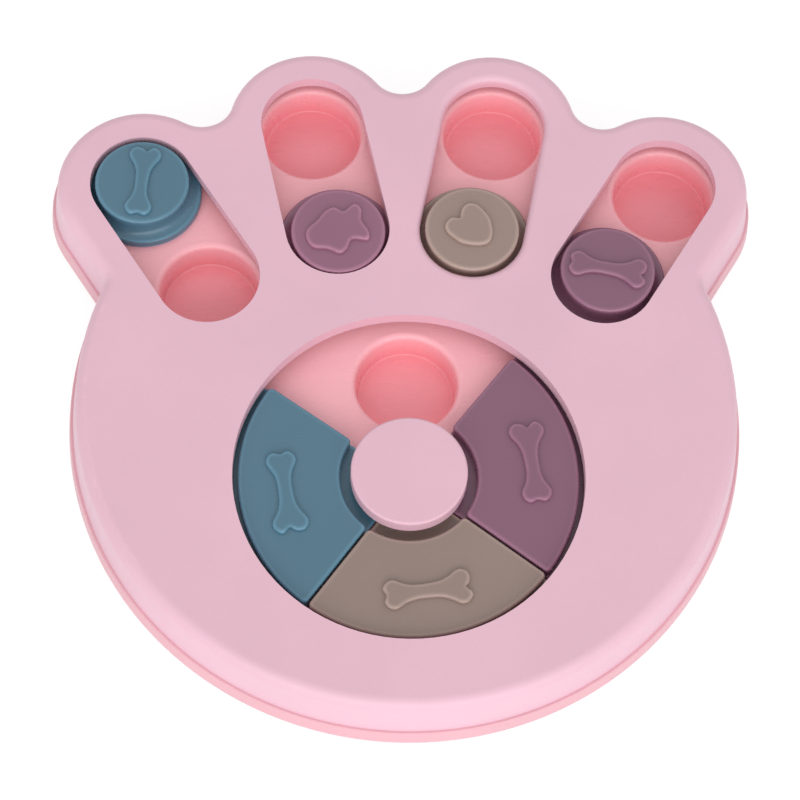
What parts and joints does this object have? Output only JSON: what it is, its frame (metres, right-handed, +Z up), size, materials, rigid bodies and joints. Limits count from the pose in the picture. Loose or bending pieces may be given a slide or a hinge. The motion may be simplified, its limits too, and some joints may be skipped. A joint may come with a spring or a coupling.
{
  "type": "treat puzzle toy",
  "caption": "Flat paw-shaped pet treat puzzle: knobs slide in the finger slots and segments turn about a hub in the palm to cover and uncover round treat cups.",
  "frame": {"origin": "middle of the footprint's bounding box, on the floor under the feet", "axes": "+Z up; +Y from the palm to the fingers; +X to the right seen from above with the fingers away"},
  "size_m": [0.2548, 0.26, 0.0293],
  "materials": {
    "cover_pink": "satin",
    "tray_pink": "satin",
    "blue": "satin",
    "taupe": "satin",
    "mauve": "satin",
    "foot_rubber": "matte",
    "screw_steel": "zinc plated"
  },
  "bodies": {
    "base": {"top_cover": "cover_pink", "base_tray": "tray_pink", "deck_plate": "tray_pink", "treat_cups": "tray_pink", "foot_sockets": "tray_pink", "hub_post": "tray_pink", "hub_cap": "cover_pink", "hub_screw": "screw_steel", "case_screws": "screw_steel", "foot_side_right": "foot_rubber", "foot_side_left": "foot_rubber", "foot_front_right": "foot_rubber", "foot_front_left": "foot_rubber", "foot_finger_left": "foot_rubber", "foot_finger_right": "foot_rubber"},
    "left_outer_slider": {"left_outer_slider": "blue"},
    "left_inner_slider": {"left_inner_slider": "mauve"},
    "right_inner_slider": {"right_inner_slider": "taupe"},
    "right_outer_slider": {"right_outer_slider": "mauve"},
    "left_segment": {"left_segment": "blue"},
    "front_segment": {"front_segment": "taupe"},
    "right_segment": {"right_segment": "mauve"}
  },
  "joints": [
    {"name": "left_outer_slide", "type": "slide", "parent": "base", "child": "left_outer_slider", "axis": [-0.5358, 0.8443, 0], "range_m": [-0.0461, 0.0015]},
    {"name": "left_inner_slide", "type": "slide", "parent": "base", "child": "left_inner_slider", "axis": [-0.2011, 0.9796, 0], "range_m": [-0.0004, 0.0472]},
    {"name": "right_inner_slide", "type": "slide", "parent": "base", "child": "right_inner_slider", "axis": [0.2011, 0.9796, 0], "range_m": [-0.0015, 0.0461]},
    {"name": "right_outer_slide", "type": "slide", "parent": "base", "child": "right_outer_slider", "axis": [0.5358, 0.8443, 0], "range_m": [-0.0049, 0.0427]},
    {"name": "front_segment_turn", "type": "hinge", "parent": "base", "child": "front_segment", "pos_m": [0, -0.0421, 0.02], "axis": [0, 0, 1], "continuous": true},
    {"name": "left_segment_turn", "type": "hinge", "parent": "front_segment", "child": "left_segment", "pos_m": [0, -0.0421, 0.02], "axis": [0, 0, 1], "range_deg": [-92.4, 0]},
    {"name": "right_segment_turn", "type": "hinge", "parent": "front_segment", "child": "right_segment", "pos_m": [0, -0.0421, 0.02], "axis": [0, 0, 1], "range_deg": [0, 92.4]}
  ]
}
